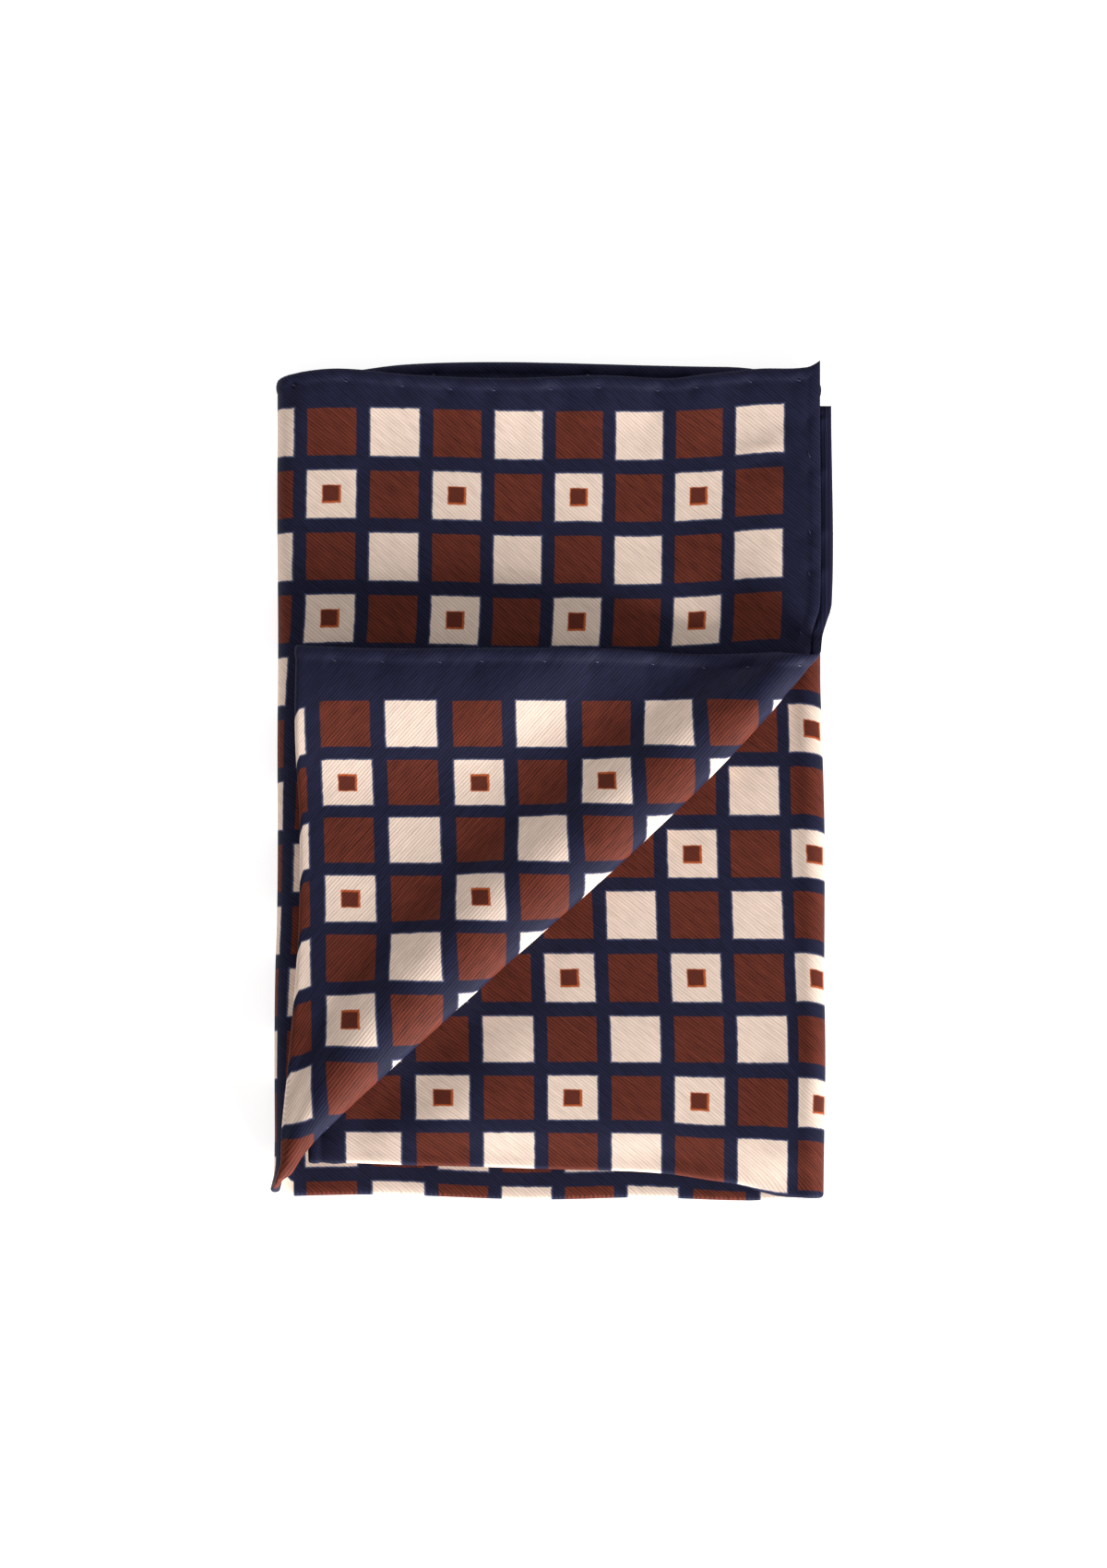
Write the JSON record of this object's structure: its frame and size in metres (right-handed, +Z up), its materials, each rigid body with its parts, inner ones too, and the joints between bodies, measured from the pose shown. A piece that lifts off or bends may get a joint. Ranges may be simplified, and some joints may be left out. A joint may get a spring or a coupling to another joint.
{
  "type": "folded silk pocket square",
  "caption": "Square of printed silk twill with rolled hems, doubled, folded in three and with one corner turned back, lying flat",
  "frame": {"origin": "middle of the underside of the folded stack, on the surface that it lies on", "axes": "+Z up through the layers, +Y from the doubled edge to the hems, +X to the open side of the top third"},
  "size_m": [0.1164, 0.174, 0.0143],
  "materials": {
    "printed_silk": "silk twill with a soft sheen, printed navy with rows of brown and cream squares, rolled navy hems"
  },
  "bodies": {
    "root": {"silk_square": "printed_silk"}
  },
  "joints": []
}
